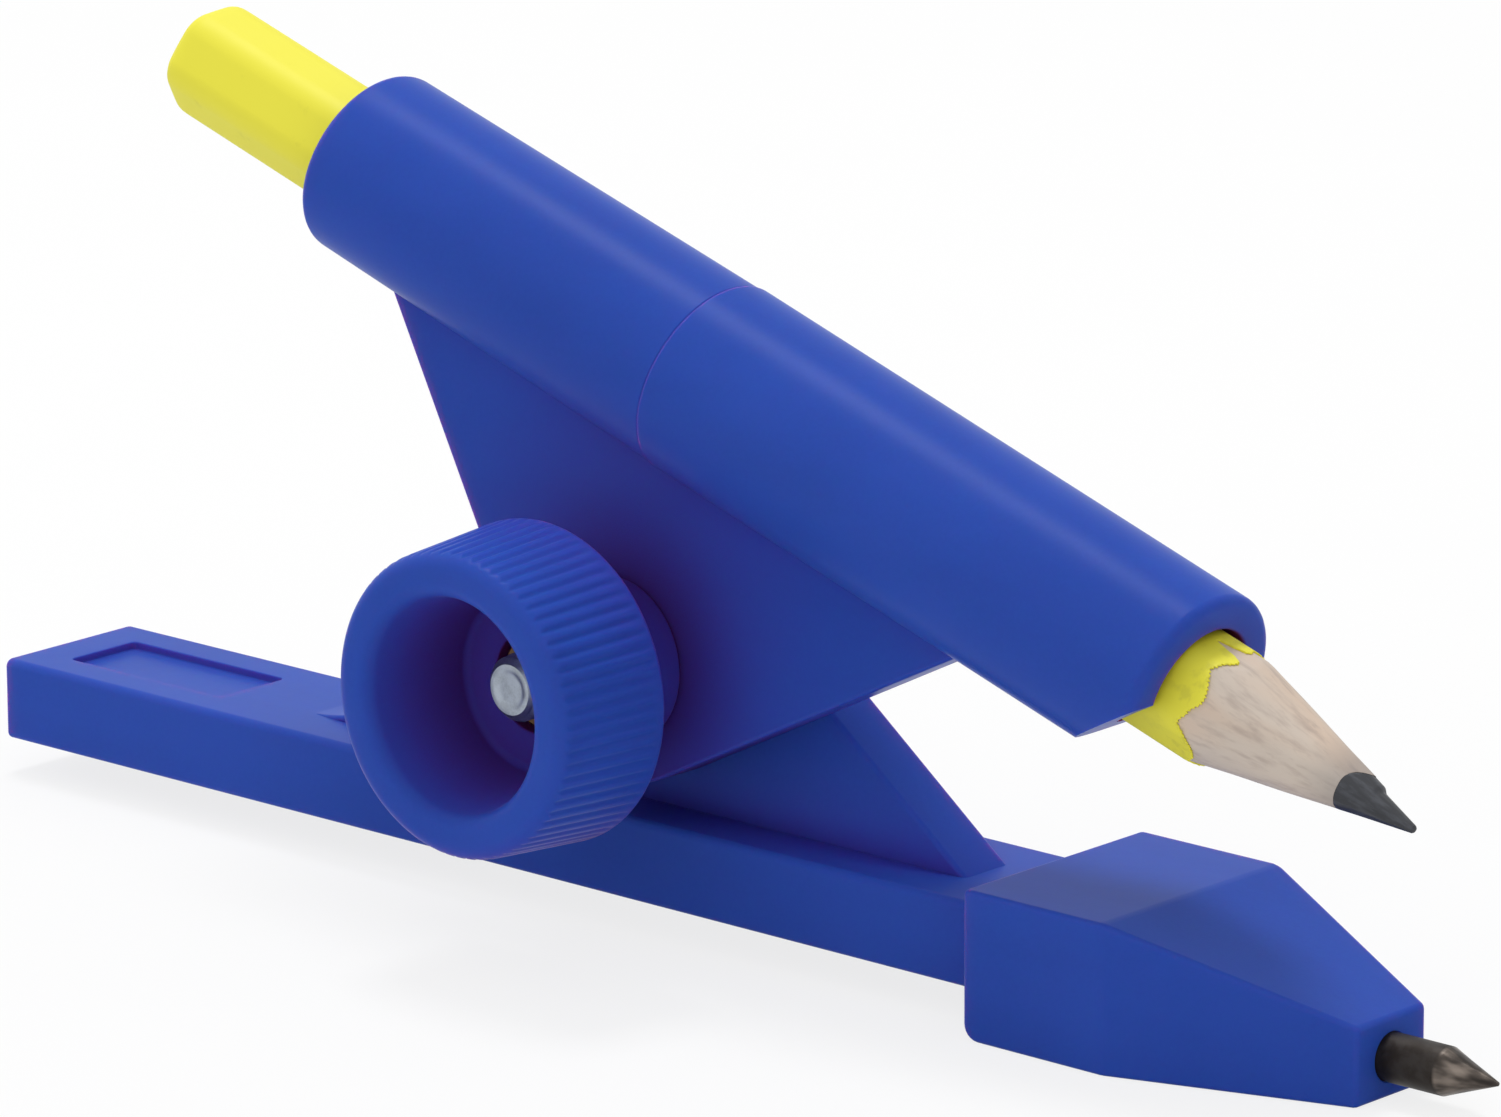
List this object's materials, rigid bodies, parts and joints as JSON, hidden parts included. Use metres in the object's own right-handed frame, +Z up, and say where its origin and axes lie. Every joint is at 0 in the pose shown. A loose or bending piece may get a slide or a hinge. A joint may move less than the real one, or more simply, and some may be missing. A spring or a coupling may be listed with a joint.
{
  "type": "parallel marking gauge",
  "caption": "Moulded bar with a steel point at its nose and a swinging pencil tube, clamped by a ribbed cup-shaped knob, for marking a line parallel to an edge.",
  "frame": {"origin": "on the bar's flat underside, in the bar's mid-plane, straight below the clamp bolt's axis", "axes": "+X along the bar toward the steel point, +Y along the clamp bolt away from the knob, +Z up from the bar toward the pencil"},
  "size_m": [0.1129, 0.0279, 0.0507],
  "materials": {
    "blue_moulding": "satin injection moulding, deep blue",
    "dark_steel": "dark tempered steel with a ground cone",
    "zinc_steel": "bright zinc plating",
    "brass": "turned",
    "cedar": "freshly sharpened, fine straight grain",
    "graphite": "dull sheen, sharpened",
    "yellow_lacquer": "glossy lacquer"
  },
  "bodies": {
    "base": {"base_body": "blue_moulding", "steel_point": "dark_steel", "clamp_bolt": "zinc_steel"},
    "holder": {"pencil_holder": "blue_moulding"},
    "knob": {"clamp_knob": "blue_moulding", "brass_insert": "brass"},
    "pencil": {"pencil_slat_upper": "cedar", "pencil_slat_lower": "cedar", "pencil_lead": "graphite", "pencil_lacquer": "yellow_lacquer"}
  },
  "joints": [
    {"name": "holder_pivot", "type": "hinge", "parent": "base", "child": "holder", "pos_m": [0, 0, 0.01465], "axis": [0, 1, 0], "range_deg": [-40, 10]},
    {"name": "knob_turn", "type": "hinge", "parent": "base", "child": "knob", "pos_m": [0, 0, 0.01465], "axis": [0, -1, 0], "range_deg": [0, 720]},
    {"name": "pencil_slide", "type": "slide", "parent": "holder", "child": "pencil", "axis": [0.95, 0, -0.3123], "range_m": [-0.012, 0.008]}
  ]
}
